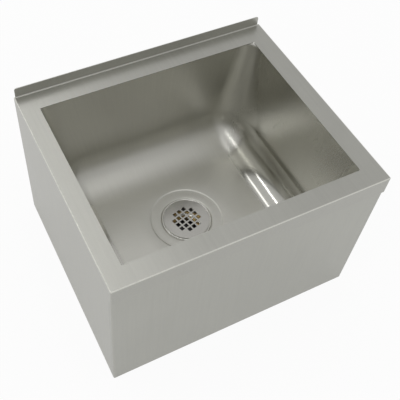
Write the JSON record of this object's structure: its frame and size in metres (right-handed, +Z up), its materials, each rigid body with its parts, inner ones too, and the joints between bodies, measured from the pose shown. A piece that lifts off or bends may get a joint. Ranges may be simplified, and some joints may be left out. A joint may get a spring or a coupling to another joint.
{
  "type": "mop service sink",
  "caption": "Floor-standing stainless mop sink: deep coved bowl in a skirted box with a rear splash flange, and a drain with a lift-out strainer plate.",
  "frame": {"origin": "centre of the footprint on the floor", "axes": "+Z up, the front skirt faces -Y, the splash flange is at +Y, +X is the sink's right seen from the front"},
  "size_m": [0.635, 0.5334, 0.4318],
  "materials": {
    "satin_steel": "satin brushed stainless, warm grey",
    "bowl_steel": "satin polished stainless, brighter in the coves",
    "mill_steel": "dull mill finish",
    "cast_steel": "machined casting",
    "strainer_steel": "polished stamping",
    "black_rubber": "matte rubber",
    "red_fibre": "vulcanised fibre",
    "brass": "machined brass"
  },
  "bodies": {
    "sink": {"deck_rim": "satin_steel", "bowl": "bowl_steel", "front_skirt": "satin_steel", "left_skirt": "satin_steel", "right_skirt": "satin_steel", "rear_top_rail": "mill_steel", "rear_base_rail": "mill_steel", "foot_gussets": "mill_steel", "sound_pads": "black_rubber", "flange_bead": "black_rubber", "drain_body": "cast_steel", "rubber_washer": "black_rubber", "friction_washer": "red_fibre", "locknut": "brass", "pipe_gasket": "black_rubber", "compression_ring": "brass"},
    "strainer": {"strainer_plate": "strainer_steel"}
  },
  "joints": [
    {"name": "strainer_lift", "type": "slide", "parent": "sink", "child": "strainer", "axis": [0, 0, 1], "range_m": [0, 0.36]}
  ]
}
